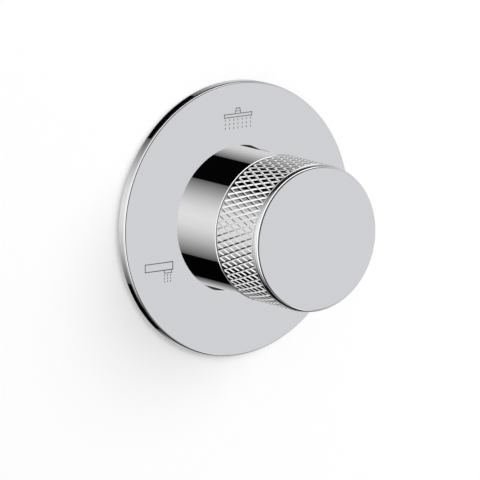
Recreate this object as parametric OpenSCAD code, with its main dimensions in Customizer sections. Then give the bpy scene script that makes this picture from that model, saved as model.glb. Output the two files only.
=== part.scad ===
// Concealed shower diverter with a round cover plate, a smooth sleeve and a
// diamond-knurled knob. One inlet, three outlets, chosen by a ceramic disc
// that the knob turns.
//
// Frame: +Z is up and the knob points along -Y. The origin is on the knob's
// axis, in the finished wall's surface, which is the plate's rear face.
// Distances along the axis are written as how far a thing stands out from
// the wall, so what is built into the wall has a negative distance.

/* [Cover plate] */
// Diameter of the cover plate
plate_d = 80; // [76:1:120]
// Thickness of the cover plate
plate_t = 3; // [2.6:0.1:5]
// Rounding of the plate's front edge
plate_edge_r = 0.6; // [0.2:0.05:1]
// Width of the bearing rim round the plate's rear recess
plate_rim_w = 2.5; // [1.5:0.1:4]
// Radial gap between the sleeve and the plate's hole
plate_hole_gap = 0.8; // [0.4:0.05:1.2]
// Depth of the groove for the ring in the plate's hole
plate_groove_depth = 1.5; // [1.2:0.1:2]
// Wall of the collar round that groove
collar_wall = 2; // [1.5:0.1:3]
// Depth of the plate's rear collar behind the wall's surface
plate_collar_l = 6; // [5:0.5:9]
// Thickness of the foam gasket in the plate's rear recess
gasket_t = 1; // [0.6:0.1:1.4]

/* [Sleeve] */
// Outside diameter of the smooth sleeve
sleeve_d = 41.4; // [41:0.1:46]
// Wall of the sleeve
sleeve_wall = 1.45; // [1:0.05:1.8]
// Distance the sleeve stands out from the wall
sleeve_front = 20.6; // [19:0.1:32]
// Thickness of the sleeve's inward front lip
sleeve_lip_t = 1.6; // [1:0.1:2.2]
// Radius of the opening in the sleeve's front lip
sleeve_lip_r = 16.5; // [12:0.5:17.5]
// Rounding of the sleeve's front edge
sleeve_edge_r = 0.15; // [0.1:0.05:0.6]

/* [Knob] */
// Diameter of the knob's plain front band
knob_d = 42.4; // [39:0.1:46]
// Length of the knob along its axis
knob_l = 20.25; // [18:0.25:34]
// Gap between the sleeve and the knob
knob_gap = 0.35; // [0.2:0.05:0.8]
// Width of the plain band in front of the knurl
knob_band_w = 1.65; // [1:0.05:4]
// Rounding of the knob's front edge
knob_edge_r = 0.95; // [0.2:0.05:1.5]
// Width of the rounded bead at the knob's rear edge
bead_w = 0.5; // [0.3:0.05:1]
// Width of the relief groove between the bead and the knurl
relief_w = 0.7; // [0.2:0.05:1]
// Thickness of the knob's front wall
knob_front_t = 6; // [3:0.5:8]
// Wall of the knob round the adaptor
knob_wall = 6.15; // [4:0.05:7]

/* [Knurl] */
// Height of the diamonds' tops above the plain band
knurl_rise = 0.15; // [0.1:0.05:0.4]
// Grooves in each direction round the knob
groove_count = 65; // [40:1:80]
// Whole diamonds along the knurl
diamond_rows = 3; // [2:1:5]
// Depth of the crossing grooves
groove_depth = 0.2; // [0.15:0.01:0.4]
// Share of the pitch that a groove takes
groove_share = 0.34; // [0.2:0.01:0.6]
// Length of the chamfer at each end of the knurl
knurl_chamfer = 0.15; // [0.1:0.05:0.6]
// Turn of the diamonds about the knob's axis, in degrees
knurl_turn = 4.3; // [0:0.1:6]

/* [Knob fixing] */
// Diameter of the knob's set screw
set_screw_d = 5; // [4:0.5:5.5]
// Length of the knob's set screw
set_screw_l = 5; // [4:0.5:6]
// Diameter of the screw that holds the adaptor to the spindle
adaptor_screw_d = 4; // [3:0.5:4.5]
// Length of the adaptor's screw under its head
adaptor_screw_l = 9; // [6:0.5:10]
// Length of the adaptor
adaptor_l = 11; // [9:0.5:11.5]

/* [Valve body] */
// Distance the body's neck stands out from the wall
neck_front = 8; // [5:0.5:9]
// Radial clearance between the neck and the sleeve
neck_fit = 0.15; // [0.1:0.05:0.3]
// Length of the body's neck
neck_l = 22; // [18:0.5:26]
// Distance the barrel stands out past the sleeve all round
barrel_proud = 0.3; // [0:0.1:4]
// Wall between the retaining nut's thread and the rings' grooves
neck_wall = 1.48; // [1.2:0.02:2]
// Depth of the cartridge chamber from the neck's front
chamber_l = 38; // [38:0.5:44]
// Thickness of the metal between the chamber and the water ways
floor_t = 5; // [3:0.5:8]
// Distance from the axis to the mouth of each port
port_reach = 34; // [32:0.5:45]
// Outside diameter of each port
port_d = 28; // [26:0.5:32]
// Thread diameter of the half-inch ports
port_thread_d = 20.96; // [20.9:0.02:21.4]
// Depth of the ports' thread
port_thread_l = 14; // [10:0.5:16]
// Diameter of the water way behind each thread
way_d = 14; // [10:0.5:16]
// Distance between the centres of the two fixing holes
lug_pcd = 66; // [64:1:90]
// Diameter of the fixing holes
lug_hole_d = 5.5; // [4:0.1:7]
// Width of the fixing lugs
lug_w = 14; // [10:0.5:18]
// Thickness of the fixing lugs
lug_t = 5; // [3:0.5:8]

/* [Cartridge] */
// Width of the housing's shoulder under the retaining nut
housing_shoulder = 1.95; // [1:0.05:2.2]
// Wall of the housing round the discs
housing_wall = 1.5; // [1.2:0.05:1.8]
// Thickness of the housing's roof
roof_t = 7; // [5:0.5:8]
// Diameter of the housing's neck
housing_neck_d = 20.8; // [18:0.2:22]
// Gap between the corners of the nut's head and the sleeve
nut_corner_gap = 0.8; // [0.5:0.1:2]
// Thickness of the nut's head
nut_head_t = 5; // [3:0.5:5]
// Distance the housing's neck stands out of the nut
housing_proud = 3; // [1:0.5:3]
// Thickness of the fixed ceramic disc
fixed_disc_t = 3; // [2:0.1:3.2]
// Thickness of the turning ceramic disc
moving_disc_t = 2.5; // [2.2:0.1:3]
// Thickness of the drive disc
drive_disc_t = 4.4; // [4:0.1:4.8]
// Thickness of the cartridge's base flange
base_flange_t = 2.2; // [1.8:0.1:2.6]
// Thickness of the part of the base inside the housing
base_plug_t = 3; // [2:0.1:3.2]
// Width of the turning disc outside the outlets
outlet_edge = 1.2; // [1:0.05:1.6]
// Diameter of each outlet
outlet_d = 5.2; // [4:0.1:5.4]
// Diameter of the central inlet
inlet_d = 5.8; // [4:0.1:6]
// Turn of the knob from the middle outlet to either side, in degrees
outlet_angle = 120; // [90:5:120]

/* [Spindle] */
// Diameter of the spindle in the housing
spindle_d = 9.8; // [8.8:0.1:10.2]
// Diameter over the splines
spline_d = 8; // [7.5:0.1:8.4]
// Number of splines
spline_count = 20; // [12:1:24]
// Diameter of the spindle's thrust flange
flange_d = 15.2; // [13:0.2:16]
// Thickness of the thrust flange
flange_t = 2; // [1.5:0.1:2.5]
// Width across the flats of the square tang
tang_af = 8; // [6:0.2:8.6]
// Thickness of the plastic thrust washer
washer_t = 0.8; // [0.5:0.1:1.2]
// Thickness of the retaining clip
clip_t = 0.9; // [0.6:0.1:1.1]

/* [Seals] */
// Section of the two sealing rings under the sleeve
sleeve_ring_d = 1.7; // [1.5:0.05:1.9]
// Section of the ring round the housing
housing_ring_d = 1.6; // [1.4:0.05:1.8]
// Section of the rings round the spindle
spindle_ring_d = 1.5; // [1.2:0.05:1.8]
// Height of the seals between the cartridge and the chamber's floor
base_seal_h = 1.6; // [1.2:0.1:1.8]
// Height of the moulded seal under the fixed disc
disc_seal_h = 1.5; // [1.2:0.1:1.8]

/* [Hidden] */
$fn = 96;

// Clearances
cut = 0.5;               // a cutter's reach past the face it opens
shaft_fit = 0.1;         // radial, spindle in its bore
ring_fit = 0.04;         // radial, spindle's rings in the bore
touch_fit = 0.02;        // radial, a still ring against the wall it seals
slip_fit = 0.1;          // radial, a part that is pushed into its seat
adaptor_fit = 0.05;      // radial, adaptor in the knob
disc_film = 0.02;        // between the two lapped discs
washer_film = 0.04;      // between the flange and the thrust washer
flange_gap = 0.1;        // between the drive disc and the flange
drive_room = 0.3;        // radial, turning parts in the housing
nut_gap = 0.3;           // between the nut's head and the neck
clip_gap = 0.25;         // between the clip and the housing's neck
base_gap = 0.4;          // between the base and the chamber's floor
seal_gap = 0.5;          // between the base and the fixed disc

// Radii of the outer parts
plate_r = plate_d / 2;
sleeve_r = sleeve_d / 2;
sleeve_in_r = sleeve_r - sleeve_wall;
neck_r = sleeve_in_r - neck_fit;
plate_hole_r = sleeve_r + plate_hole_gap;
plate_groove_r = plate_hole_r + plate_groove_depth;
collar_r = plate_groove_r + collar_wall;
gasket_in_r = collar_r + 1;
gasket_out_r = plate_r - plate_rim_w - 0.2;
knob_r = knob_d / 2;
knob_bore_r = knob_r - knob_wall;
crest_r = knob_r + knurl_rise;
knob_rear = sleeve_front + knob_gap;
knob_front = knob_rear + knob_l;

// Knurl
knurl_start = knob_rear + bead_w + relief_w + knurl_chamfer;
knurl_end = knob_front - knob_band_w - knurl_chamfer;
half_rows = 2 * diamond_rows;
half_row_l = (knurl_end - knurl_start) / half_rows;
pitch_angle = 360 / groove_count;
land_share = 1 - groove_share;
groove_r = crest_r - groove_depth;
knurl_core_r = min(groove_r, knob_r) - 0.1;
knurl_foot_r = knurl_core_r - 0.05;
knurl_inner_r = knurl_core_r - 0.9;

// Knob fixing
cavity_front = knob_front - knob_front_t;
adaptor_r = knob_bore_r - adaptor_fit;
adaptor_front = cavity_front;
adaptor_rear = adaptor_front - adaptor_l;
adaptor_web_front = adaptor_front - 2;
adaptor_web_rear = adaptor_web_front - 2;
adaptor_hub_r = 8;
screw_u = (adaptor_rear + adaptor_front) / 2;
screw_angle = 270;
screw_groove_depth = 0.9;
set_screw_point_r = 0.3;
set_screw_tip_r = adaptor_r - screw_groove_depth + set_screw_point_r + 0.05;

// Valve body, from the sleeve inwards
neck_rear = neck_front - neck_l;
sleeve_rear = neck_rear + 0.5;
floor_u = neck_front - chamber_l;
port_u = floor_u - floor_t - way_d / 2;
body_back = port_u - port_d / 2;
neck_groove_r = sleeve_in_r - touch_fit - sleeve_ring_d;
nut_bore_r = neck_groove_r - neck_wall;
nut_thread_r = nut_bore_r - slip_fit;
nut_af = 2 * (sleeve_in_r - nut_corner_gap) * cos(30);
housing_r = nut_thread_r - housing_shoulder;
chamber_r = housing_r + slip_fit;
barrel_r = sleeve_r + barrel_proud;
neck_groove_w = sleeve_ring_d + 0.5;
sleeve_ring_u = [neck_rear + neck_l / 4, neck_rear + neck_l * 3 / 4];
lug_r = lug_pcd / 2;
lug_angles = [45, 225];
housing_in_r = housing_r - housing_wall;
fixed_disc_r = housing_in_r - 0.2;
drive_disc_r = housing_in_r - drive_room;
moving_disc_r = drive_disc_r - 0.2;
outlet_pitch_r = moving_disc_r - outlet_d / 2 - outlet_edge;
drill_step = 0.25;
way_end = outlet_pitch_r + outlet_d / 2 + 1.7;
port_angles = [0, 90, 180];
outlet_angles = [90 - outlet_angle, 90, 90 + outlet_angle];
pip_r = 1.4;
pip_l = 1.8;
pip_pitch_r = housing_r - 2.2;
pip_angles = [30, 150];

// Cartridge, from the chamber's floor outwards
base_rear = floor_u + base_gap;
base_step = base_rear + base_flange_t;
base_front = base_step + base_plug_t;
fixed_rear = base_front + seal_gap;
fixed_front = fixed_rear + fixed_disc_t;
moving_rear = fixed_front + disc_film;
moving_front = moving_rear + moving_disc_t;
drive_front = moving_front + drive_disc_t;
flange_rear = drive_front + flange_gap;
flange_front = flange_rear + flange_t;
washer_rear = flange_front + washer_film;
roof_rear = washer_rear + washer_t;
shoulder_u = roof_rear + roof_t;
nut_head_rear = neck_front + nut_gap;
nut_head_front = nut_head_rear + nut_head_t;
housing_front = nut_head_front + housing_proud;
housing_neck_r = housing_neck_d / 2;
housing_ring_u = roof_rear + roof_t / 2;
housing_groove_r = chamber_r - touch_fit - housing_ring_d;
base_plug_r = housing_in_r - slip_fit;
key_r = 1.3;
key_pitch_r = fixed_disc_r - 0.3;
key_angles = [0, 180];
dog_r = 1.8;
dog_l = 1.5;
dog_pitch_r = moving_disc_r - dog_r - 1.6;
channel_depth = 1.2;
lug_ring_in_r = flange_d / 2 + 1.2;
stop_h = roof_rear - drive_front - 0.5;
drive_lug_span = 34;
stop_span = 360 - 2 * outlet_angle - drive_lug_span - 3;
seal_wall = 0.9;
seal_out_d = outlet_d + 0.3 + 2 * seal_wall;
seal_in_d = inlet_d + 0.2 + 2 * seal_wall;

// Spindle
spindle_r = spindle_d / 2;
spindle_bore_r = spindle_r + shaft_fit;
clip_rear = housing_front + clip_gap;
clip_groove_r = spindle_r - 0.8;
spline_start = clip_rear + clip_t + 1.5;
spindle_front = adaptor_web_rear - 0.2;
tang_l = drive_disc_t - 0.9;
spindle_ring_u = [roof_rear + 3.2, housing_front - 4];
spindle_groove_r = spindle_bore_r - ring_fit - spindle_ring_d;
tooth_h = 0.45;
screw_core_r = adaptor_screw_d / 2 - 0.35;

// What is drawn inside points out of the wall, from distance u.
module out_from(u) {
    translate([0, -u, 0]) rotate([90, 0, 0]) children();
}

// A copy at each angle, on a circle of radius r; 90 is at the top.
module around(r, angles) {
    for (a = angles) rotate([0, 0, a]) translate([r, 0, 0]) children();
}

// A round bar between two distances from the wall.
module bar(r, u0, u1) {
    out_from(u0) cylinder(r = r, h = u1 - u0);
}

// Bars between two distances, one at each angle on a circle.
module bars(r, pitch_r, angles, u0, u1) {
    out_from(u0) around(pitch_r, angles) cylinder(r = r, h = u1 - u0, $fn = 48);
}

// A round tube between two distances from the wall.
module tube(r_out, r_in, u0, u1) {
    difference() {
        bar(r_out, u0, u1);
        bar(r_in, u0 - cut, u1 + cut);
    }
}

// A ring of round section that lies on a shaft of radius r_in.
module o_ring(r_in, section_d, u) {
    out_from(u)
        rotate_extrude() translate([r_in + section_d / 2, 0]) circle(d = section_d, $fn = 32);
}

// A sector of a ring, centred on the angle a.
module ring_sector(r_out, r_in, a, span, u0, u1) {
    out_from(u0) rotate([0, 0, a - span / 2])
        rotate_extrude(angle = span) translate([r_in, 0]) square([r_out - r_in, u1 - u0]);
}

// Half the outline of a turned edge: a quarter circle, point by point.
function edge_arc(r, u, radius, steps = 4) =
    [for (k = [0:steps]) [r - radius + radius * cos(90 * k / steps),
                          u - radius + radius * sin(90 * k / steps)]];

// Diamond knurl. The groove bottoms cross on a lattice of half rows. Between
// four crossings stands one diamond: a flat land with four sloping flanks. At
// both ends the diamonds are cut through the middle and chamfered.
function spot(u, angle, r) = [r * cos(angle), r * sin(angle), u];
function half_row_u(j) = knurl_start + j * half_row_l;
function is_even(j) = j % 2 == 0;
function cell_angle(j, i) = knurl_turn + (i + (is_even(j) ? 0 : 0.5)) * pitch_angle;
function cross_angle(j, i) = knurl_turn + (i + (is_even(j) ? 0.5 : 0)) * pitch_angle;
function quad(a, b, c, d) = [[a, b, c], [a, c, d]];

// Where each family of points starts in the list.
land_start = (half_rows + 1) * groove_count;
rear_land_start = land_start + 4 * (half_rows - 1) * groove_count;
front_land_start = rear_land_start + 3 * groove_count;
rim_starts = [for (k = [0:3]) front_land_start + 3 * groove_count * (k + 1)];

function cross_id(j, i) = j * groove_count + (i + groove_count) % groove_count;
function low_id(j, i) = cross_id(j, is_even(j) ? i - 1 : i);
function high_id(j, i) = cross_id(j, is_even(j) ? i : i + 1);
function land_id(j, i, k) = land_start + ((j - 1) * groove_count + i) * 4 + k;
function rear_land_id(i, k) = rear_land_start + 3 * i + k;
function front_land_id(i, k) = front_land_start + 3 * i + k;
function rim_id(ring, s) = rim_starts[ring] + s % (3 * groove_count);

// The rim's stations in each cell: its low crossing, then both land corners.
function station_angle(s) =
    cell_angle(0, floor(s / 3)) + pitch_angle / 2 * [-1, -land_share, land_share][s % 3];
function edge_id(row, s) =
    let (i = floor(s / 3) % groove_count, k = s % 3)
    k == 0 ? low_id(row, i) :
    row == 0 ? rear_land_id(i, k == 1 ? 0 : 2) : front_land_id(i, k == 1 ? 0 : 2);

function rim_points(u, r) = [for (s = [0:3 * groove_count - 1]) spot(u, station_angle(s), r)];

function knurl_points() = concat(
    [for (j = [0:half_rows]) for (i = [0:groove_count - 1])
        spot(half_row_u(j), cross_angle(j, i), groove_r)],
    [for (j = [1:half_rows - 1]) for (i = [0:groove_count - 1]) for (k = [0:3])
        spot(half_row_u(j) + half_row_l * land_share * [-1, 0, 1, 0][k],
             cell_angle(j, i) + pitch_angle / 2 * land_share * [0, -1, 0, 1][k], crest_r)],
    [for (i = [0:groove_count - 1]) for (k = [0:2])
        spot(half_row_u(0) + half_row_l * land_share * [0, 1, 0][k],
             cell_angle(0, i) + pitch_angle / 2 * land_share * [-1, 0, 1][k], crest_r)],
    [for (i = [0:groove_count - 1]) for (k = [0:2])
        spot(half_row_u(half_rows) - half_row_l * land_share * [0, 1, 0][k],
             cell_angle(0, i) + pitch_angle / 2 * land_share * [-1, 0, 1][k], crest_r)],
    rim_points(knurl_start - knurl_chamfer, knurl_foot_r),
    rim_points(knurl_start - knurl_chamfer, knurl_inner_r),
    rim_points(knurl_end + knurl_chamfer, knurl_foot_r),
    rim_points(knurl_end + knurl_chamfer, knurl_inner_r)
);

function whole_cell(j, i) =
    let (corners = [cross_id(j - 1, i), low_id(j, i), cross_id(j + 1, i), high_id(j, i)])
    concat(
        quad(land_id(j, i, 0), land_id(j, i, 1), land_id(j, i, 2), land_id(j, i, 3)),
        [for (k = [0:3]) let (next = (k + 1) % 4)
            each quad(corners[k], corners[next], land_id(j, i, next), land_id(j, i, k))]
    );

function rear_half_cell(i) = concat(
    [[rear_land_id(i, 0), rear_land_id(i, 1), rear_land_id(i, 2)]],
    quad(low_id(0, i), cross_id(1, i), rear_land_id(i, 1), rear_land_id(i, 0)),
    quad(cross_id(1, i), high_id(0, i), rear_land_id(i, 2), rear_land_id(i, 1))
);

function front_half_cell(i) =
    let (j = half_rows)
    concat(
        [[front_land_id(i, 1), front_land_id(i, 0), front_land_id(i, 2)]],
        quad(cross_id(j - 1, i), low_id(j, i), front_land_id(i, 0), front_land_id(i, 1)),
        quad(high_id(j, i), cross_id(j - 1, i), front_land_id(i, 1), front_land_id(i, 2))
    );

function rim_faces(s) = concat(
    quad(rim_id(0, s), edge_id(0, s), edge_id(0, s + 1), rim_id(0, s + 1)),
    quad(rim_id(1, s), rim_id(0, s), rim_id(0, s + 1), rim_id(1, s + 1)),
    quad(rim_id(1, s), rim_id(1, s + 1), rim_id(3, s + 1), rim_id(3, s)),
    quad(edge_id(half_rows, s), rim_id(2, s), rim_id(2, s + 1), edge_id(half_rows, s + 1)),
    quad(rim_id(2, s + 1), rim_id(2, s), rim_id(3, s), rim_id(3, s + 1))
);

function knurl_faces() = concat(
    [for (j = [1:half_rows - 1]) for (i = [0:groove_count - 1]) each whole_cell(j, i)],
    [for (i = [0:groove_count - 1]) each rear_half_cell(i)],
    [for (i = [0:groove_count - 1]) each front_half_cell(i)],
    [for (s = [0:3 * groove_count - 1]) each rim_faces(s)]
);

module knurl() {
    out_from(0) polyhedron(points = knurl_points(), faces = knurl_faces());
}

// The knob's turned blank: rear bead, relief groove, core under the knurl,
// plain front band with a rounded edge, and the bore for the adaptor.
module knob_blank() {
    bead_r = bead_w * 0.4;
    out_from(0) rotate_extrude($fn = 120) polygon(concat(
        [[knob_bore_r + 0.6, knob_rear]],
        [for (p = edge_arc(crest_r, 0, bead_r)) [p[0], knob_rear - p[1]]],
        edge_arc(crest_r, knob_rear + bead_w, bead_r),
        [[knurl_core_r, knob_rear + bead_w + bead_r / 2],
         [knurl_core_r, knurl_end + knurl_chamfer / 2],
         [knob_r, knurl_end + knurl_chamfer / 2]],
        edge_arc(knob_r, knob_front, knob_edge_r),
        [[0, knob_front], [0, cavity_front], [knob_bore_r, cavity_front],
         [knob_bore_r, knob_rear + 0.6]]
    ));
}

// A bar that crosses the axis at right angles, from radius r0 to r1.
module cross_bar(r, r0, r1, u, a, sides = 48) {
    out_from(u) rotate([0, 0, a]) translate([r0, 0, 0]) rotate([0, 90, 0])
        cylinder(r = r, h = r1 - r0, $fn = sides);
}

module knob() {
    color("silver") difference() {
        union() {
            knob_blank();
            knurl();
        }
        cross_bar(set_screw_d / 2, knob_bore_r - cut, crest_r + cut, screw_u, screw_angle);
    }
}

// Headless screw with a cone tip and a hexagon socket.
module knob_set_screw() {
    screw_r = set_screw_d / 2 - 0.04;
    color("dimgray") out_from(screw_u) rotate([0, 0, screw_angle])
        translate([set_screw_tip_r, 0, 0]) rotate([0, 90, 0]) difference() {
            rotate_extrude($fn = 48) polygon([
                [0, 0], [set_screw_point_r, 0], [screw_r, screw_r - set_screw_point_r],
                [screw_r, set_screw_l], [0, set_screw_l]
            ]);
            translate([0, 0, set_screw_l - 2]) cylinder(d = set_screw_d * 0.55, h = 2 + cut, $fn = 6);
        }
}

// Outline of the splines, grown by a fit.
module spline_outline(grow) {
    step = 360 / spline_count;
    tip_r = spline_d / 2 + grow;
    root_r = tip_r - tooth_h;
    polygon([for (i = [0:spline_count - 1]) for (k = [0:3])
        let (r = [root_r, tip_r, tip_r, root_r][k], a = (i + [0.1, 0.32, 0.68, 0.9][k]) * step)
        [r * cos(a), r * sin(a)]]);
}

// Brass insert between the spindle's splines and the knob's bore.
module knob_adaptor() {
    color("goldenrod") difference() {
        out_from(0) rotate_extrude() polygon([
            [0, adaptor_rear], [adaptor_hub_r, adaptor_rear],
            [adaptor_hub_r, adaptor_rear + 2], [adaptor_r - 0.5, adaptor_rear + 2],
            [adaptor_r, adaptor_rear + 2.5],
            [adaptor_r, screw_u - screw_groove_depth], [adaptor_r - screw_groove_depth, screw_u],
            [adaptor_r, screw_u + screw_groove_depth],
            [adaptor_r, adaptor_front - 0.4], [adaptor_r - 0.4, adaptor_front], [0, adaptor_front]
        ]);
        out_from(adaptor_rear - cut)
            linear_extrude(adaptor_web_rear - adaptor_rear + cut) spline_outline(0.06);
        bar(adaptor_screw_d / 2 + 0.1, adaptor_web_rear - cut, adaptor_front + cut);
        bar(adaptor_screw_d + 1, adaptor_web_front, adaptor_front + cut);
    }
}

// Pan-head screw along the axis, with a cross recess.
module adaptor_screw() {
    head_h = 1.8;
    head_r = adaptor_screw_d * 0.9;
    slot_w = adaptor_screw_d * 0.2;
    color("dimgray") difference() {
        out_from(0) rotate_extrude($fn = 48) polygon(concat(
            [[0, adaptor_web_front - adaptor_screw_l],
             [screw_core_r - 0.5, adaptor_web_front - adaptor_screw_l],
             [screw_core_r - 0.05, adaptor_web_front - adaptor_screw_l + 0.5],
             [screw_core_r - 0.05, adaptor_web_front], [head_r, adaptor_web_front]],
            edge_arc(head_r, adaptor_web_front + head_h, 0.8, 4),
            [[0, adaptor_web_front + head_h]]
        ));
        out_from(adaptor_web_front + 0.6) for (a = [0, 90]) rotate([0, 0, a])
            translate([-head_r * 0.6, -slot_w / 2, 0]) cube([head_r * 1.2, slot_w, head_h]);
    }
}

// Smooth chromed tube with an inward lip behind the knob.
module sleeve() {
    color("silver") out_from(0) rotate_extrude($fn = 180) polygon(concat(
        [[sleeve_in_r, sleeve_rear], [sleeve_r - 0.3, sleeve_rear], [sleeve_r, sleeve_rear + 0.3]],
        edge_arc(sleeve_r, sleeve_front, sleeve_edge_r, 4),
        [[sleeve_lip_r, sleeve_front], [sleeve_lip_r, sleeve_front - sleeve_lip_t],
         [sleeve_in_r, sleeve_front - sleeve_lip_t]]
    ));
}

module sleeve_o_rings() {
    color("black") for (u = sleeve_ring_u) o_ring(neck_groove_r, sleeve_ring_d, u);
}

// Flat polished disc. A recess behind it takes the gasket, and a collar
// round its hole carries the ring that grips the sleeve.
module cover_plate() {
    recess_t = gasket_t;
    groove_w = plate_groove_r - sleeve_r + 0.4;
    groove_u = -plate_collar_l / 2;
    color("silver") out_from(0) rotate_extrude($fn = 180) polygon(concat(
        [[plate_hole_r, -plate_collar_l], [collar_r - 0.5, -plate_collar_l],
         [collar_r, -plate_collar_l + 0.5], [collar_r, recess_t],
         [plate_r - plate_rim_w, recess_t], [plate_r - plate_rim_w, 0], [plate_r, 0]],
        edge_arc(plate_r, plate_t, plate_edge_r),
        [[plate_hole_r + 0.15, plate_t], [plate_hole_r, plate_t - 0.15],
         [plate_hole_r, groove_u + groove_w / 2], [plate_groove_r, groove_u + groove_w / 2],
         [plate_groove_r, groove_u - groove_w / 2], [plate_hole_r, groove_u - groove_w / 2]]
    ));
}

module plate_o_ring() {
    section = plate_groove_r - sleeve_r - 2 * touch_fit;
    color("black") o_ring(sleeve_r + touch_fit, section, -plate_collar_l / 2);
}

module plate_gasket() {
    color("gray") tube(gasket_out_r, gasket_in_r, 0.05, gasket_t);
}

// Water ways of one port: the thread's bore, the way behind it, the hole in
// the chamber's floor and the drilling that joins the two. The hole lies on
// a circle of radius hole_at, at the angle hole_a.
module port_bore(a, hole_a, hole_at, hole_r) {
    along = hole_at * cos(hole_a - a);
    aside = hole_at * sin(hole_a - a);
    drill_r = hole_r - drill_step;
    cross_bar(port_thread_d / 2, port_reach - port_thread_l, port_reach + cut, port_u, a, 96);
    cross_bar(way_d / 2, way_end, port_reach - port_thread_l + cut, port_u, a);
    out_from(port_u) rotate([0, 0, a]) translate([along, aside, 0]) rotate([0, 90, 0])
        cylinder(r = drill_r, h = way_end + cut - along, $fn = 48);
    bars(hole_r, hole_at, [hole_a], port_u - hole_r, floor_u + cut);
}

// One port's outside: a turned spigot with a wider, chamfered mouth.
module port_spigot(a) {
    mouth_l = port_thread_l * 0.8;
    waist_r = port_d / 2 - 1.2;
    out_from(port_u) rotate([0, 0, a]) rotate([0, 90, 0]) rotate_extrude() polygon([
        [0, 0], [waist_r, 0], [waist_r, port_reach - mouth_l - 1.2],
        [port_d / 2, port_reach - mouth_l], [port_d / 2, port_reach - 0.8],
        [port_d / 2 - 0.8, port_reach], [0, port_reach]
    ]);
}

// Brass casting: barrel and neck for the cartridge, four threaded ports
// behind it and two lugs that fix it in the wall.
module valve_body() {
    color("goldenrod") difference() {
        union() {
            out_from(0) rotate_extrude() polygon([
                [0, body_back], [barrel_r - 1.5, body_back], [barrel_r, body_back + 1.5],
                [barrel_r, neck_rear - 2], [barrel_r - 1, neck_rear], [neck_r, neck_rear],
                [neck_r, neck_front - 0.6], [neck_r - 0.6, neck_front], [0, neck_front]
            ]);
            for (a = [0:90:270]) port_spigot(a);
            bars(lug_w / 2, lug_r, lug_angles, body_back, body_back + lug_t);
            out_from(body_back) for (a = lug_angles) rotate([0, 0, a])
                translate([0, -lug_w / 2, 0]) cube([lug_r, lug_w, lug_t]);
        }
        bar(chamber_r, floor_u, neck_front + cut);
        bar(nut_bore_r, shoulder_u - 0.5, neck_front + cut);
        for (u = sleeve_ring_u)
            tube(neck_r + cut, neck_groove_r, u - neck_groove_w / 2, u + neck_groove_w / 2);
        for (k = [0:2]) port_bore(port_angles[k], outlet_angles[k], outlet_pitch_r, outlet_d / 2);
        port_bore(270, 270, 0, inlet_d / 2);
        bars(pip_r + slip_fit, pip_pitch_r, pip_angles, floor_u - pip_l, floor_u + cut);
        bars(lug_hole_d / 2, lug_r, lug_angles, body_back - cut, body_back + lug_t + cut);
    }
}

// Threaded ring with a hexagon head that holds the cartridge down.
module cartridge_nut() {
    color("gold") difference() {
        union() {
            out_from(0) rotate_extrude() polygon([
                [0, shoulder_u], [nut_thread_r - 0.8, shoulder_u], [nut_thread_r, shoulder_u + 0.8],
                [nut_thread_r, nut_head_rear], [0, nut_head_rear]
            ]);
            intersection() {
                out_from(nut_head_rear) rotate([0, 0, 30])
                    cylinder(d = nut_af / cos(30), h = nut_head_t, $fn = 6);
                out_from(nut_head_rear) rotate_extrude() polygon([
                    [0, 0], [nut_af * 0.58, 0], [nut_af * 0.58, nut_head_t - 1.2],
                    [nut_af * 0.52, nut_head_t], [0, nut_head_t]
                ]);
            }
        }
        bar(housing_neck_r + slip_fit, shoulder_u - cut, nut_head_front + cut);
    }
}

// Turned housing: the discs' room, the roof with its ring's groove, and the
// neck that guides the spindle. A rib under the roof stops the drive disc.
module cartridge_housing() {
    groove_half_w = housing_ring_d / 2 + 0.2;
    color("khaki") {
        difference() {
            out_from(0) rotate_extrude() polygon([
                [housing_in_r, base_step], [housing_r, base_step],
                [housing_r, housing_ring_u - groove_half_w],
                [housing_groove_r, housing_ring_u - groove_half_w],
                [housing_groove_r, housing_ring_u + groove_half_w],
                [housing_r, housing_ring_u + groove_half_w],
                [housing_r, shoulder_u], [housing_neck_r, shoulder_u],
                [housing_neck_r, housing_front - 0.5], [housing_neck_r - 0.5, housing_front],
                [spindle_bore_r, housing_front], [spindle_bore_r, roof_rear],
                [housing_in_r, roof_rear]
            ]);
        }
        ring_sector(housing_in_r + 0.2, lug_ring_in_r, 270, stop_span, roof_rear - stop_h, roof_rear + 0.2);
    }
}

module housing_o_ring() {
    color("black") o_ring(housing_groove_r, housing_ring_d, housing_ring_u);
}

// Brass spindle: square tang, thrust flange, grooved stem and splined end
// with a tapped hole for the adaptor's screw.
module spindle() {
    ring_half_w = spindle_ring_d / 2 + 0.15;
    color("gold") difference() {
        union() {
            out_from(flange_rear - tang_l) translate([-tang_af / 2, -tang_af / 2, 0])
                cube([tang_af, tang_af, tang_l + 0.1]);
            bar(flange_d / 2, flange_rear, flange_front);
            difference() {
                bar(spindle_r, flange_front - 0.1, spline_start);
                tube(spindle_r + cut, clip_groove_r, clip_rear - 0.05, clip_rear + clip_t + 0.05);
                for (u = spindle_ring_u)
                    tube(spindle_r + cut, spindle_groove_r, u - ring_half_w, u + ring_half_w);
            }
            out_from(spline_start - 0.1)
                linear_extrude(spindle_front - spline_start + 0.1) spline_outline(0);
        }
        bar(screw_core_r, adaptor_web_front - adaptor_screw_l - 1, spindle_front + cut);
    }
}

module spindle_o_rings() {
    color("black") for (u = spindle_ring_u) o_ring(spindle_groove_r, spindle_ring_d, u);
}

// Spring clip in the spindle's groove, open on one side.
module spindle_clip() {
    clip_r = spindle_r + 1.6;
    color("dimgray") difference() {
        tube(clip_r, clip_groove_r + touch_fit, clip_rear, clip_rear + clip_t);
        out_from(clip_rear - cut) translate([-clip_groove_r * 0.7, 0, 0])
            cube([clip_groove_r * 1.4, clip_r + cut, clip_t + 2 * cut]);
    }
}

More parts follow.
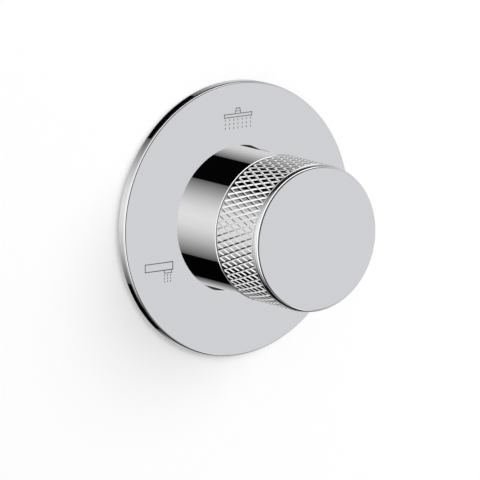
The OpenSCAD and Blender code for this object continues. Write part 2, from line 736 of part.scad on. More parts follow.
module thrust_washer() {
    color("white") tube(flange_d / 2, spindle_r + slip_fit, washer_rear, roof_rear);
}

// Plastic disc that passes the spindle's turn to the ceramic disc. Its lug
// meets the rib in the housing at both ends of the turn.
module drive_disc() {
    socket_af = tang_af + 0.1;
    color("white") {
        difference() {
            bar(drive_disc_r, moving_front, drive_front);
            out_from(flange_rear - tang_l - 0.1) translate([-socket_af / 2, -socket_af / 2, 0])
                cube([socket_af, socket_af, tang_l + cut]);
        }
        bars(dog_r, dog_pitch_r, key_angles, moving_front - dog_l, moving_front + 0.2);
        ring_sector(drive_disc_r, lug_ring_in_r, 90, drive_lug_span, drive_front - 0.2, drive_front + stop_h);
    }
}

// Turning ceramic disc. A channel under it leads from the inlet to the
// outlet that it points at.
module moving_ceramic_disc() {
    color("ivory") difference() {
        bar(moving_disc_r, moving_rear, moving_front);
        bars(dog_r + slip_fit, dog_pitch_r, key_angles, moving_front - dog_l - 0.1, moving_front + cut);
        bar(inlet_d / 2, moving_rear - cut, moving_rear + channel_depth);
        bars(outlet_d / 2, outlet_pitch_r, [90], moving_rear - cut, moving_rear + channel_depth);
        out_from(moving_rear - cut) translate([-outlet_d / 2, 0, 0])
            cube([outlet_d, outlet_pitch_r, channel_depth + cut]);
    }
}

// The holes that the base, the seals and the fixed disc share.
module four_ways(u0, u1) {
    bar(inlet_d / 2, u0, u1);
    bars(outlet_d / 2, outlet_pitch_r, outlet_angles, u0, u1);
}

module fixed_ceramic_disc() {
    color("ivory") difference() {
        bar(fixed_disc_r, fixed_rear, fixed_front);
        four_ways(fixed_rear - cut, fixed_front + cut);
        bars(key_r + slip_fit, key_pitch_r, key_angles, fixed_rear - cut, fixed_front + cut);
    }
}

// Four raised rings, one round each way.
module seal_rings(u0, u1) {
    difference() {
        union() {
            bar(seal_in_d / 2, u0, u1);
            bars(seal_out_d / 2, outlet_pitch_r, outlet_angles, u0, u1);
        }
        bar(seal_in_d / 2 - seal_wall, u0 - cut, u1 + cut);
        bars(seal_out_d / 2 - seal_wall, outlet_pitch_r, outlet_angles, u0 - cut, u1 + cut);
    }
}

// One moulded seal: the four rings are joined by thin webs.
module disc_seal() {
    web_t = 0.7;
    web_l = outlet_pitch_r - seal_out_d / 2 - seal_in_d / 2 + 1;
    seal_rear = fixed_rear - disc_seal_h;
    color("firebrick") {
        seal_rings(seal_rear, fixed_rear);
        difference() {
            out_from(seal_rear) for (a = outlet_angles) rotate([0, 0, a])
                translate([seal_in_d / 2 - 0.5, -0.6, 0]) cube([web_l, 1.2, web_t]);
            four_ways(seal_rear - cut, fixed_rear + cut);
        }
    }
}

// Plastic base with pips that locate it in the body and keys that hold the
// fixed disc. Grooves on both faces take the seals.
module cartridge_base() {
    seal_room = 0.05;
    color("white") difference() {
        union() {
            bar(housing_r, base_rear, base_step);
            bar(base_plug_r, base_step - 0.1, base_front);
            bars(pip_r, pip_pitch_r, pip_angles, base_rear - base_gap - pip_l + 0.3, base_rear + 0.1);
            intersection() {
                bars(key_r, key_pitch_r, key_angles, base_front - 0.1, fixed_rear + fixed_disc_t * 0.7);
                bar(base_plug_r, base_front - 0.1, fixed_front);
            }
        }
        out_from(fixed_rear - disc_seal_h) for (a = outlet_angles) rotate([0, 0, a])
            translate([0, -0.65, 0]) cube([outlet_pitch_r, 1.3, disc_seal_h + cut]);
        four_ways(base_rear - cut, base_front + cut);
        for (k = [0, 1]) {
            u0 = [base_rear - cut, fixed_rear - disc_seal_h][k];
            u1 = [floor_u + base_seal_h, base_front + cut][k];
            bar(seal_in_d / 2 + seal_room, u0, u1);
            bars(seal_out_d / 2 + seal_room, outlet_pitch_r, outlet_angles, u0, u1);
        }
    }
}

module base_seals() {
    color("black") seal_rings(floor_u, floor_u + base_seal_h);
}

knob();
knob_set_screw();
knob_adaptor();
adaptor_screw();
sleeve();
sleeve_o_rings();
cover_plate();
plate_o_ring();
plate_gasket();
valve_body();
cartridge_nut();
cartridge_housing();
housing_o_ring();
spindle();
spindle_o_rings();
spindle_clip();
thrust_washer();
drive_disc();
moving_ceramic_disc();
fixed_ceramic_disc();
disc_seal();
cartridge_base();
base_seals();
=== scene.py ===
"""Looks for the concealed shower diverter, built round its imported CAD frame.

Everything is in metres and in the row's frame: +Z up, -Y out of the wall,
origin on the knob's axis in the wall's surface. Sizes below are written in
millimetres and multiplied by MM.
"""
import math
import bmesh
import bpy
from mathutils import Matrix, Vector


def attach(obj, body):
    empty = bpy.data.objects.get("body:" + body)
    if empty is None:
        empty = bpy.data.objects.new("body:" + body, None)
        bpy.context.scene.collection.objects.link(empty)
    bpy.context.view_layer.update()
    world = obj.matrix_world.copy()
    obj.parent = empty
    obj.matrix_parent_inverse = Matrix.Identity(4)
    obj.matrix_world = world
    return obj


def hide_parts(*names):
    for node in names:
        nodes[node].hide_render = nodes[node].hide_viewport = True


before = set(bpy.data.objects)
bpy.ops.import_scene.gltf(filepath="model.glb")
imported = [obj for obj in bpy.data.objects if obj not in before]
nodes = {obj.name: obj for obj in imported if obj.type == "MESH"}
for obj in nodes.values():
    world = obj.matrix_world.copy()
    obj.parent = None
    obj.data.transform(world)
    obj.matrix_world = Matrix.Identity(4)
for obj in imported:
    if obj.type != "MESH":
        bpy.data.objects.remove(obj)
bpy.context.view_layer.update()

scene = bpy.context.scene
MM = 0.001

# Camera
# A long lens from the left and a little above, as fitted to the photograph.
photo_px = 480
cam_azimuth = math.radians(-36.1325)
cam_elevation = math.radians(10.7517)
cam_distance = 3.0
cam_focus_px = 10430.4
cam_target = Vector((2.9796 * MM, 0.0, -6.9592 * MM))

away = Vector((math.sin(cam_azimuth) * math.cos(cam_elevation),
               -math.cos(cam_azimuth) * math.cos(cam_elevation),
               math.sin(cam_elevation)))
right = (-away).cross(Vector((0, 0, 1))).normalized()
top = right.cross(-away)

camera = bpy.data.objects.new("camera", bpy.data.cameras.new("camera"))
scene.collection.objects.link(camera)
camera.matrix_world = Matrix.Translation(cam_target + away * cam_distance) @ Matrix(
    (right, top, away)).transposed().to_4x4()
camera.data.sensor_width = 36.0
camera.data.lens = cam_focus_px / photo_px * camera.data.sensor_width
camera.data.clip_start = 0.05
camera.data.clip_end = 50.0
scene.camera = camera
scene.view_settings.view_transform = "Standard"

# Studio
# The world is what the chrome mirrors. Round the knob's axis stand two broad
# bright panels, left and right, which fade towards their edges, and two black
# flags, above and below. Angles run from +X to +Z, and levels are 8-bit greys.
chrome_gain = 0.9
panel_fades = [  # the edge and the level there, the brightest place and the level there
    (60.0, 92, 15.0, 204), (114.4, 92, 175.0, 222), (243.0, 84, 175.0, 222), (293.0, 70, 335.0, 206),
]
flags = [(60.0, 114.4, 4), (243.0, 293.0, 2)]  # start, end and level

# Depth is -1 straight out of the wall and 1 straight into it. Out of the wall
# lies an even grey for the flat faces, ringed by a dark hoop and a white strip,
# which draw two fine lines along each rounded edge. Into the wall it is pale,
# and a gain between the two brightens what the knurl's flanks mirror.
even_grey = (0.69, 0.697, 0.715)
pale_grey = (0.8, 0.8, 0.8)
depth_zones = [  # depth, grey and how far it covers the panels
    (-1.0, even_grey, 1), (-0.745, even_grey, 1), (-0.72, even_grey, 0),
    (0.84, pale_grey, 0), (0.88, pale_grey, 1),
]
flares = [  # depth, share of white and share of the gain
    (-0.74, 0, 0), (-0.71, 1, 0), (-0.46, 1, 0), (-0.38, 0, 0), (0.34, 0, 0), (0.42, 0, 1),
    (0.5, 0, 1), (0.53, 0.16, 1), (0.57, 0.16, 1), (0.59, 0, 1), (0.66, 0, 1), (0.74, 0, 0),
]
flare_white = 1.5
flare_gain = 0.45
face_way = (0.579, -0.793, -0.187)
hoop_shares = [(60, 0), (54, 1), (17, 1), (13, 0)]  # angle from that way, share of dark
hoop_grey = 0.03
zone_shares = [(0, 1), (225, 1), (235, 0), (316, 0), (324, 1)]  # angle, share of the zones ahead
soft_level = 0.44


def add(tree, kind, inputs, **settings):
    """Adds a shader node to a tree. Each input is a plain value or another node's output."""
    made = tree.nodes.new("ShaderNode" + kind)
    for name, value in settings.items():
        setattr(made, name, value)
    for socket, value in inputs.items():
        if isinstance(value, bpy.types.NodeSocket):
            tree.links.new(value, made.inputs[socket])
        else:
            made.inputs[socket].default_value = value
    return made


def add_ramp(tree, factor, listed):
    """Adds a colour ramp with the listed (position, colour) stops."""
    made = add(tree, "ValToRGB", {0: factor})
    stops = made.color_ramp.elements
    while len(stops) < len(listed):
        stops.new(0.5)
    for stop, (position, color) in zip(stops, listed):
        stop.position = position
        stop.color = color
    return made


def linear(level_8bit):
    """The scene value of a display grey."""
    c = level_8bit / 255
    return c / 12.92 if c <= 0.04045 else ((c + 0.055) / 1.055) ** 2.4


def flare_share(angle):
    """How far the flares show at an angle round the axis: weakly below, and not at the right."""
    return 0.2 if 242 < angle < 295 else 1 if 45 < angle < 304 else 0


panel_greys = {}
for edge, edge_grey, brightest, grey in panel_fades:
    for t in (0, 0.25, 0.5, 0.75, 1):
        panel_greys[brightest + (edge - brightest) * t] = grey + (edge_grey - grey) * t * t
for start, end, grey in flags:
    panel_greys[start + 0.1] = panel_greys[end - 0.1] = grey
panel_stops = []
for angle, grey in sorted(panel_greys.items()):
    value = linear(grey) / chrome_gain
    panel_stops.append((angle / 360, (value, value, value * 1.005, flare_share(angle))))

world = bpy.data.worlds.new("studio")
scene.world = world
world.use_nodes = True
sky = world.node_tree
sky.nodes.clear()
way = add(sky, "TexCoord", {}).outputs["Generated"]
split = add(sky, "SeparateXYZ", {0: way})
round_axis = add(sky, "Math", {0: split.outputs["Z"], 1: split.outputs["X"]}, operation="ARCTAN2")
turns = add(sky, "Math", {0: round_axis.outputs[0], 1: 1 / math.tau}, operation="MULTIPLY")
turn = add(sky, "Math", {0: turns.outputs[0]}, operation="FRACT").outputs[0]
mapped = add(sky, "MapRange", {"Value": split.outputs["Y"], "From Min": -1.0, "From Max": 1.0})
depth = mapped.outputs["Result"]
panels = add_ramp(sky, turn, panel_stops)
zones = add_ramp(sky, depth, [((y + 1) / 2, (*grey, cover)) for y, grey, cover in depth_zones])

flared = add_ramp(sky, depth, [((y + 1) / 2, (white, gain, 0, 1)) for y, white, gain in flares])
held_flare = add(sky, "VectorMath", {0: flared.outputs["Color"], "Scale": panels.outputs["Alpha"]},
                 operation="SCALE")
shares = add(sky, "SeparateXYZ", {0: held_flare.outputs[0]})
gain = add(sky, "Math", {0: shares.outputs["Y"], 1: flare_gain, 2: 1.0}, operation="MULTIPLY_ADD")
gained = add(sky, "VectorMath", {0: panels.outputs["Color"], "Scale": gain.outputs[0]}, operation="SCALE")
striped = add(sky, "Mix", {"Factor": shares.outputs["X"], "A": gained.outputs[0],
                           "B": (flare_white, flare_white, flare_white, 1)}, data_type="RGBA")

zone_hold = add_ramp(sky, turn, [(angle / 360, (share, share, share, 1)) for angle, share in zone_shares])
ahead = add(sky, "Math", {0: split.outputs["Y"], 1: 0.0}, operation="LESS_THAN")
held = add(sky, "Mix", {"Factor": ahead.outputs[0], "A": 1.0, "B": zone_hold.outputs["Color"]})
zone_share = add(sky, "Math", {0: zones.outputs["Alpha"], 1: held.outputs["Result"]}, operation="MULTIPLY")
from_face = add(sky, "VectorMath", {0: way, 1: face_way}, operation="DOT_PRODUCT")
hoop = add_ramp(sky, from_face.outputs["Value"],
                [(math.cos(math.radians(angle)), (share, share, share, 1)) for angle, share in hoop_shares])
hooped = add(sky, "Mix", {"Factor": hoop.outputs["Color"], "A": zones.outputs["Color"],
                          "B": (hoop_grey, hoop_grey, hoop_grey, 1)}, data_type="RGBA")
mirrored = add(sky, "Mix", {"Factor": zone_share.outputs[0], "A": striped.outputs["Result"],
                            "B": hooped.outputs["Result"]}, data_type="RGBA")

# Dull surfaces get an even soft light instead, and past the wall it is white.
rays = add(sky, "LightPath", {})
seen = add(sky, "Mix", {"Factor": rays.outputs["Is Glossy Ray"], "A": (soft_level, soft_level, soft_level, 1),
                        "B": mirrored.outputs["Result"]}, data_type="RGBA")
open_sky = add(sky, "Mix", {"Factor": rays.outputs["Is Camera Ray"], "A": seen.outputs["Result"],
                            "B": (1, 1, 1, 1)}, data_type="RGBA")
glow = add(sky, "Background", {"Color": open_sky.outputs["Result"]})
add(sky, "OutputWorld", {"Surface": glow.outputs[0]})

# One broad lamp from the upper right throws the plate's soft shadow to the
# lower left. It stays out of the chrome, which mirrors the world alone.
lamp_data = bpy.data.lights.new("softbox", "AREA")
lamp_data.shape = "DISK"
lamp_data.size = 2.8
lamp_data.energy = 76.0
lamp = bpy.data.objects.new("softbox", lamp_data)
scene.collection.objects.link(lamp)
lamp.location = (1.3, -2.6, 1.05)
lamp.rotation_euler = (Vector((0, 0, 0)) - Vector(lamp.location)).to_track_quat("-Z", "Y").to_euler()
lamp.visible_glossy = False

# Wall
# The finished wall is a matt white sheet with a hole under the plate for the
# concealed body. It can't be seen from behind, so the body shows from there.
wall_hole_r = 33 * MM
wall_reach = 6.0
wall_y = 0.1 * MM
wall_steps = 64
around = [k * math.tau / wall_steps for k in range(wall_steps)]
wall_points = [(r * math.cos(a), wall_y, r * math.sin(a)) for r in (wall_hole_r, wall_reach) for a in around]
wall_faces = []
for k in range(wall_steps):
    n = (k + 1) % wall_steps
    wall_faces.append((k, wall_steps + k, wall_steps + n, n))
wall_mesh = bpy.data.meshes.new("wall")
wall_mesh.from_pydata(wall_points, [], wall_faces)
wall = bpy.data.objects.new("wall", wall_mesh)
scene.collection.objects.link(wall)
wall.visible_glossy = False

wall_paint = bpy.data.materials.new("wall_paint")
wall_paint.use_nodes = True
tree = wall_paint.node_tree
tree.nodes.clear()
matt = add(tree, "BsdfDiffuse", {"Color": (0.8, 0.8, 0.8, 1)})
lift = add(tree, "Emission", {"Strength": 0.2})
lifted = add(tree, "AddShader", {0: matt.outputs[0], 1: lift.outputs[0]})
rays = add(tree, "LightPath", {})
in_view = rays.outputs["Is Camera Ray"]
shown = add(tree, "MixShader", {"Fac": in_view, 1: matt.outputs[0], 2: lifted.outputs[0]})
side = add(tree, "NewGeometry", {})
gone = add(tree, "BsdfTransparent", {})
behind = side.outputs["Backfacing"]
one_sided = add(tree, "MixShader", {"Fac": behind, 1: shown.outputs[0], 2: gone.outputs[0]})
add(tree, "OutputMaterial", {"Surface": one_sided.outputs[0]})
wall_mesh.materials.append(wall_paint)

# Cover plate
# A turned brass disc, polished and chromed like the sleeve and the knob. It has
# an eased front edge, a rear recess for the gasket and a collar for the ring
# that grips the sleeve.
plate_r = 40.0
plate_t = 3.0
plate_hole_r = 21.5
plate_groove_r = 23.0
plate_collar_r = 25.0
plate_collar_u = -6.0
sleeve_r = 20.7


def arc(r, u, radius, start=0.0, end=90.0, steps=8):
    """Points of a rounded corner whose outer tangents meet at (r, u)."""
    a = [math.radians(start + (end - start) * k / steps) for k in range(steps + 1)]
    return [(r - radius + radius * math.cos(t), u - radius + radius * math.sin(t)) for t in a]


def turned(name, outline, steps=360, crease=35.0):
    """A solid turned round the knob's axis from a closed outline of (radius, distance out).

    Long runs get a ring just inside either end, so that they shade straight beside an eased edge.
    """
    corners, outline = outline, []
    for (r, u), (next_r, next_u) in zip(corners, corners[1:] + corners[:1]):
        outline.append((r, u))
        run = math.hypot(next_r - r, next_u - u)
        if run > 0.4:
            outline += [(r + (next_r - r) * t, u + (next_u - u) * t) for t in (0.02 / run, 1 - 0.02 / run)]
    mesh = bpy.data.meshes.new(name)
    build = bmesh.new()
    rings = []
    for k in range(steps):
        a = k * math.tau / steps
        across, up = MM * math.cos(a), MM * math.sin(a)
        rings.append([build.verts.new((r * across, -u * MM, r * up)) for r, u in outline])
    for k in range(steps):
        here, there = rings[k], rings[(k + 1) % steps]
        for j in range(len(outline)):
            n = (j + 1) % len(outline)
            if outline[j][0] > 0 or outline[n][0] > 0:
                build.faces.new((here[j], there[j], there[n], here[n]))
    bmesh.ops.remove_doubles(build, verts=build.verts, dist=1e-7)
    bmesh.ops.recalc_face_normals(build, faces=build.faces)
    for face in build.faces:
        face.smooth = True
    build.to_mesh(mesh)
    build.free()
    mesh.set_sharp_from_angle(angle=math.radians(crease))
    made = bpy.data.objects.new(name, mesh)
    scene.collection.objects.link(made)
    return made


def surface(name, color, roughness, metallic=0.0, vary=0.04, grain=60.0, bump=0.0):
    """A material whose tone and gloss wander a little over the piece, with an optional fine bump."""
    made = bpy.data.materials.new(name)
    made.use_nodes = True
    tree = made.node_tree
    tree.nodes.clear()
    place = add(tree, "TexCoord", {})
    noise = add(tree, "TexNoise", {"Vector": place.outputs["Object"], "Scale": grain, "Detail": 4.0})
    darker = (*[c * (1 - vary) for c in color], 1)
    lighter = (*[min(1, c * (1 + vary)) for c in color], 1)
    tone = add(tree, "Mix", {"Factor": noise.outputs["Fac"], "A": darker, "B": lighter}, data_type="RGBA")
    gloss = add(tree, "MapRange", {"Value": noise.outputs["Fac"], "To Min": roughness * 0.9,
                                   "To Max": roughness * 1.1})
    skin = add(tree, "BsdfPrincipled", {"Base Color": tone.outputs["Result"],
                                        "Roughness": gloss.outputs["Result"], "Metallic": metallic})
    if bump:
        relief = add(tree, "Bump", {"Height": noise.outputs["Fac"], "Strength": 1.0, "Distance": bump * MM})
        tree.links.new(relief.outputs["Normal"], skin.inputs["Normal"])
    add(tree, "OutputMaterial", {"Surface": skin.outputs[0]})
    return made


def dress(piece, body, slot, *stands_for):
    """Puts a finished piece on its body, hides the CAD nodes it stands for and keeps it out of mirrors. The
    slot is not used.
    """
    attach(piece, body)
    if stands_for:
        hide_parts(*stands_for)
    piece.visible_glossy = False


chrome = surface("chrome", (0.9, 0.9, 0.905), 0.035, metallic=1.0, vary=0.006, grain=25.0)
plate_edge_r = 0.6
gasket_t = 1.0
ring_room = 1.35
plate = turned("plate_face", [
    (plate_hole_r, plate_collar_u), (plate_collar_r - 0.5, plate_collar_u),
    (plate_collar_r, plate_collar_u + 0.5), (plate_collar_r, gasket_t),
    (plate_r - 2.5, gasket_t), (plate_r - 2.5, 0), (plate_r - 0.25, 0), (plate_r, 0.25),
    *arc(plate_r, plate_t, plate_edge_r),
    (plate_hole_r, plate_t), (plate_hole_r, -3 + ring_room), (plate_groove_r, -3 + ring_room),
    (plate_groove_r, -3 - ring_room), (plate_hole_r, -3 - ring_room),
])
plate.data.materials.append(chrome)
dress(plate, "fixed", "chrome", "cover_plate")

# Engraved marks name the outlets: an overhead shower at the top, a bath spout
# at the lower left. They lie a hair above the polish as dull grey lines.
mark_lift = 0.012
marks = bpy.data.meshes.new("plate_marks")
build = bmesh.new()


def mark_line(x0, z0, x1, z1, width=0.28):
    """One engraved stroke on the plate, between two points seen from the front."""
    along = Vector((x1 - x0, 0, z1 - z0)).normalized()
    aside = Vector((-along.z, 0, along.x)) * (width / 2)
    ends = [Vector((x0, 0, z0)) - along * width / 2, Vector((x1, 0, z1)) + along * width / 2]
    flat = [ends[0] - aside, ends[1] - aside, ends[1] + aside, ends[0] + aside]
    low = [build.verts.new((p.x * MM, -plate_t * MM, p.z * MM)) for p in flat]
    high = [build.verts.new((p.x * MM, -(plate_t + mark_lift) * MM, p.z * MM)) for p in flat]
    build.faces.new(high)
    for k in range(4):
        build.faces.new((low[k], low[(k + 1) % 4], high[(k + 1) % 4], high[k]))


def mark_loop(*points):
    for k, (x, z) in enumerate(points):
        mark_line(x, z, *points[(k + 1) % len(points)])


mark_loop((-4.75, 30.75), (4.95, 30.75), (4.95, 29.85), (-4.75, 29.85))
mark_line(-0.54, 32.33, 0.7, 32.33)
mark_line(-0.54, 32.33, -0.92, 30.9)
mark_line(0.7, 32.33, 1.12, 30.9)
mark_line(-0.7, 31.5, 0.85, 31.5, 0.2)
for k in range(7):
    for z in (29.25, 28.06, 26.87):
        mark_line(-4.4 + 1.49 * k, z, -4.4 + 1.49 * k, z - 0.32)
mark_loop((-32.7, -9.85), (-23.02, -9.85), (-23.02, -12.05), (-32.7, -12.05))
mark_line(-26.0, -12.2, -26.0, -12.95, 0.22)
mark_line(-23.43, -12.2, -23.43, -12.95, 0.22)
mark_line(-26.0, -12.95, -23.43, -12.95, 0.22)
for x in (-25.94, -24.86, -23.79):
    for z in (-13.5, -14.38, -15.26):
        mark_line(x, z, x, z - 0.25, 0.26)
bmesh.ops.recalc_face_normals(build, faces=build.faces)
build.to_mesh(marks)
build.free()
marks.materials.append(surface("engraving", (0.2, 0.2, 0.205), 0.6, vary=0.15, grain=900.0))
plate_marks = bpy.data.objects.new("plate_marks", marks)
scene.collection.objects.link(plate_marks)
dress(plate_marks, "fixed", "chrome")

# Sleeve
# A plain chromed brass tube with a lightly rounded front edge and an inward
# lip. It slides on two rings over the body's neck and out through the plate.
sleeve_in_r = 19.25
sleeve_rear_u = -13.5
sleeve_front_u = 20.6
sleeve_lip_r = 16.5
sleeve_lip_u = 19.0
sleeve_edge_r = 0.15
sleeve_bevel = 0.3
sleeve = turned("sleeve_tube", [
    (sleeve_in_r, sleeve_rear_u), (sleeve_r - sleeve_bevel, sleeve_rear_u),
    (sleeve_r, sleeve_rear_u + sleeve_bevel), *arc(sleeve_r, sleeve_front_u, sleeve_edge_r, steps=5),
    (sleeve_lip_r, sleeve_front_u), (sleeve_lip_r, sleeve_lip_u), (sleeve_in_r, sleeve_lip_u),
])
sleeve.data.materials.append(chrome)
dress(sleeve, "fixed", "chrome", "sleeve")

# Knob
# A turned and chromed brass grip: rear bead, relief groove, knurl, plain front
# band, and a bore over the adaptor. The knurl is a shell of diamonds laid on
# the turned blank, and a fine ring closes its front end.
knob_r = 21.2
knob_rear_u = 20.95
knob_front_u = 41.2
knob_edge_r = 0.95
crest_r = 21.35
bead_u = knob_rear_u + 0.28
bead_bevel = 0.2
rear_bevel = 0.1
relief_r = 20.95
relief_u = knob_rear_u + 0.53
knurl_core_r = 20.95
knurl_start_u = 22.3
ring_r = 21.3
ring_u = 39.48
ring_land = 0.02
ring_w = 0.15
ring_fall = 0.2
knob_bore_r = 15.05
knob_bore_bevel = 0.6
bore_floor_u = 35.2
knob = turned("knob_grip", [
    (knob_bore_r + knob_bore_bevel, knob_rear_u), (crest_r - rear_bevel, knob_rear_u),
    (crest_r, knob_rear_u + rear_bevel), (crest_r, bead_u), (crest_r - bead_bevel, bead_u + bead_bevel),
    (relief_r, relief_u), (relief_r, knurl_start_u), (knurl_core_r, knurl_start_u), (knurl_core_r, ring_u),
    (ring_r, ring_u), (ring_r, ring_u + ring_land), (ring_r - ring_fall, ring_u + ring_w),
    (knob_r, ring_u + ring_w), *arc(knob_r, knob_front_u, knob_edge_r, steps=14), (0, knob_front_u),
    (0, bore_floor_u), (knob_bore_r, bore_floor_u), (knob_bore_r, knob_rear_u + knob_bore_bevel),
])
knob.data.materials.append(chrome)

# One diamond is a patch between four groove bottoms. Along its two groove
# directions it runs from -1 to 1, and its depth grows towards either edge. Each
# flank starts in a small round. The grooves of one hand have a wider front
# flank, and those of the other hand have even ones.
groove_count = 65
half_rows = 6
knurl_l = 17.1
half_row_l = knurl_l / half_rows
groove_depth = 0.2
full_depth_share = 0.34
knurl_foot_r = 21.27
knurl_in_r = 20.0
end_slope = 1.54
least_fall = 0.02
knurl_turn = math.radians(5.2)
pitch = math.tau / groove_count
flank_at = [(0.0, 0.0), (0.06, 0.02), (0.15, 0.09), (0.24, 0.18), (1.0, 1.0)]
cuts = []
for front_share, rear_share in ((0.42, 0.24), (0.33, 0.33)):
    depth = front_share / full_depth_share
    rear, front = [[(0.4, 0.0)] + [(1 - share + share * v, depth * d) for v, d in flank_at]
                   for share in (rear_share, front_share)]
    cuts.append([(-v, d) for v, d in reversed(rear)] + [(0.0, 0.0)] + front)


def diamond(name, half=0):
    """A diamond centred at angle 0, or with half = 1 or -1 its front or rear half with an end chamfer."""
    mesh = bpy.data.meshes.new(name)
    build = bmesh.new()
    n = len(cuts[0])
    spots = {}
    for i, (s, s_depth) in enumerate(cuts[0]):
        for j, (t, t_depth) in enumerate(cuts[1]):
            if half * (i + j - n + 1) >= 0:
                r = (crest_r - groove_depth * max(s_depth, t_depth)) * MM
                a = (s - t) * pitch / 4
                u = 0 if half and i + j == n - 1 else (s + t) * half_row_l / 2 * MM
                spots[i, j] = build.verts.new((r * math.cos(a), -u, r * math.sin(a)))
    for i in range(n - 1):
        for j in range(n - 1):
            corners = [spots[c] for c in ((i, j), (i + 1, j), (i + 1, j + 1), (i, j + 1)) if c in spots]
            if len(corners) > 2:
                build.faces.new(corners)
    if half:
        edge = [spots[i, n - 1 - i] for i in range(n)]
        foot = []
        for v in edge:
            a = math.atan2(v.co.z, v.co.x)
            r = knurl_foot_r * MM
            fall = max(math.hypot(v.co.x, v.co.z) - r, least_fall * MM)
            foot.append(build.verts.new((r * math.cos(a), half * fall / end_slope, r * math.sin(a))))
        for k in range(n - 1):
            build.faces.new((edge[k], edge[k + 1], foot[k + 1], foot[k]))
    bmesh.ops.recalc_face_normals(build, faces=build.faces)
    build.to_mesh(mesh)
    build.free()
    made = bpy.data.objects.new(name, mesh)
    scene.collection.objects.link(made)
    return made


# This node group lays copies of a piece round the knob's axis, row by row,
# each odd row turned by half a step, and welds them into one mesh.
group = bpy.data.node_groups.new("lay_round", "GeometryNodeTree")
face = group.interface
face.new_socket("Geometry", in_out="INPUT", socket_type="NodeSocketGeometry")
in_count = face.new_socket("Count", in_out="INPUT", socket_type="NodeSocketInt").identifier
in_rows = face.new_socket("Rows", in_out="INPUT", socket_type="NodeSocketInt").identifier
in_step = face.new_socket("Step Angle", in_out="INPUT", socket_type="NodeSocketFloat").identifier
in_start = face.new_socket("Start Angle", in_out="INPUT", socket_type="NodeSocketFloat").identifier
in_out = face.new_socket("Start Out", in_out="INPUT", socket_type="NodeSocketFloat").identifier
in_advance = face.new_socket("Row Advance", in_out="INPUT", socket_type="NodeSocketFloat").identifier
in_material = face.new_socket("Material", in_out="INPUT", socket_type="NodeSocketMaterial").identifier
face.new_socket("Geometry", in_out="OUTPUT", socket_type="NodeSocketGeometry")
given = group.nodes.new("NodeGroupInput")
result = group.nodes.new("NodeGroupOutput")


def sum_node(operation, a, b):
    """A maths node of the group; each input is a number or another node's output."""
    made = group.nodes.new("ShaderNodeMath")
    made.operation = operation
    for socket, value in zip(made.inputs, (a, b)):
        if isinstance(value, (int, float)):
            socket.default_value = value
        else:
            group.links.new(value, socket)
    return made.outputs[0]


number = group.nodes.new("GeometryNodeInputIndex").outputs[0]
column = sum_node("MODULO", number, given.outputs["Count"])
row = sum_node("FLOOR", sum_node("DIVIDE", number, given.outputs["Count"]), 0)
odd_row = sum_node("MULTIPLY", sum_node("MODULO", row, 2), 0.5)
steps_round = sum_node("MULTIPLY", sum_node("ADD", column, odd_row), given.outputs["Step Angle"])
turn = sum_node("MULTIPLY", sum_node("ADD", steps_round, given.outputs["Start Angle"]), -1)
out_by = sum_node("ADD", sum_node("MULTIPLY", row, given.outputs["Row Advance"]), given.outputs["Start Out"])
place = group.nodes.new("ShaderNodeCombineXYZ")
group.links.new(sum_node("MULTIPLY", out_by, -1), place.inputs["Y"])
spin = group.nodes.new("ShaderNodeCombineXYZ")
group.links.new(turn, spin.inputs["Y"])
seeds = group.nodes.new("GeometryNodePoints")
group.links.new(sum_node("MULTIPLY", given.outputs["Count"], given.outputs["Rows"]), seeds.inputs["Count"])
group.links.new(place.outputs[0], seeds.inputs["Position"])
copies = group.nodes.new("GeometryNodeInstanceOnPoints")
group.links.new(seeds.outputs[0], copies.inputs["Points"])
group.links.new(given.outputs["Geometry"], copies.inputs["Instance"])
group.links.new(spin.outputs[0], copies.inputs["Rotation"])
real = group.nodes.new("GeometryNodeRealizeInstances")
group.links.new(copies.outputs[0], real.inputs[0])
weld = group.nodes.new("GeometryNodeMergeByDistance")
weld.inputs["Distance"].default_value = 1e-6
group.links.new(real.outputs[0], weld.inputs["Geometry"])
coat = group.nodes.new("GeometryNodeSetMaterial")
group.links.new(weld.outputs[0], coat.inputs["Geometry"])
group.links.new(given.outputs["Material"], coat.inputs["Material"])
group.links.new(coat.outputs[0], result.inputs[0])


def lay_round(piece, count, rows, step, start, out, advance, material):
    """Runs the group on a piece and returns the finished mesh; the piece itself is removed."""
    layer = piece.modifiers.new("lay_round", "NODES")
    layer.node_group = group
    for key, value in ((in_count, count), (in_rows, rows), (in_step, step), (in_start, start),
                       (in_out, out), (in_advance, advance), (in_material, material)):
        layer[key] = value
    bpy.context.view_layer.update()
    mesh = bpy.data.meshes.new_from_object(piece.evaluated_get(bpy.context.evaluated_depsgraph_get()))
    bpy.data.objects.remove(piece)
    return mesh


start_out = knurl_start_u * MM
advance = half_row_l * MM
knurl_parts = [
    lay_round(diamond("rear_half", 1), groove_count, 1, pitch, knurl_turn, start_out, 0, chrome),
    lay_round(diamond("whole"), groove_count, half_rows - 1, pitch, knurl_turn + pitch / 2,
              start_out + advance, advance, chrome),
    lay_round(diamond("front_half", -1), groove_count, 1, pitch, knurl_turn,
              start_out + half_rows * advance, 0, chrome),
]
build = bmesh.new()
for part in knurl_parts:
    build.from_mesh(part)
bmesh.ops.remove_doubles(build, verts=build.verts, dist=2e-6)
rims = [e for e in build.edges if e.is_boundary]
inward = bmesh.ops.extrude_edge_only(build, edges=rims)
inner_verts = [v for v in inward["geom"] if isinstance(v, bmesh.types.BMVert)]
for v in inner_verts:
    a = math.atan2(v.co.z, v.co.x)
    v.co.x, v.co.z = knurl_in_r * MM * math.cos(a), knurl_in_r * MM * math.sin(a)
bmesh.ops.bridge_loops(build, edges=[e for e in build.edges if e.is_boundary])
bmesh.ops.recalc_face_normals(build, faces=build.faces)
for f in build.faces:
    f.smooth = True
knurl_mesh = bpy.data.meshes.new("knurl")
build.to_mesh(knurl_mesh)
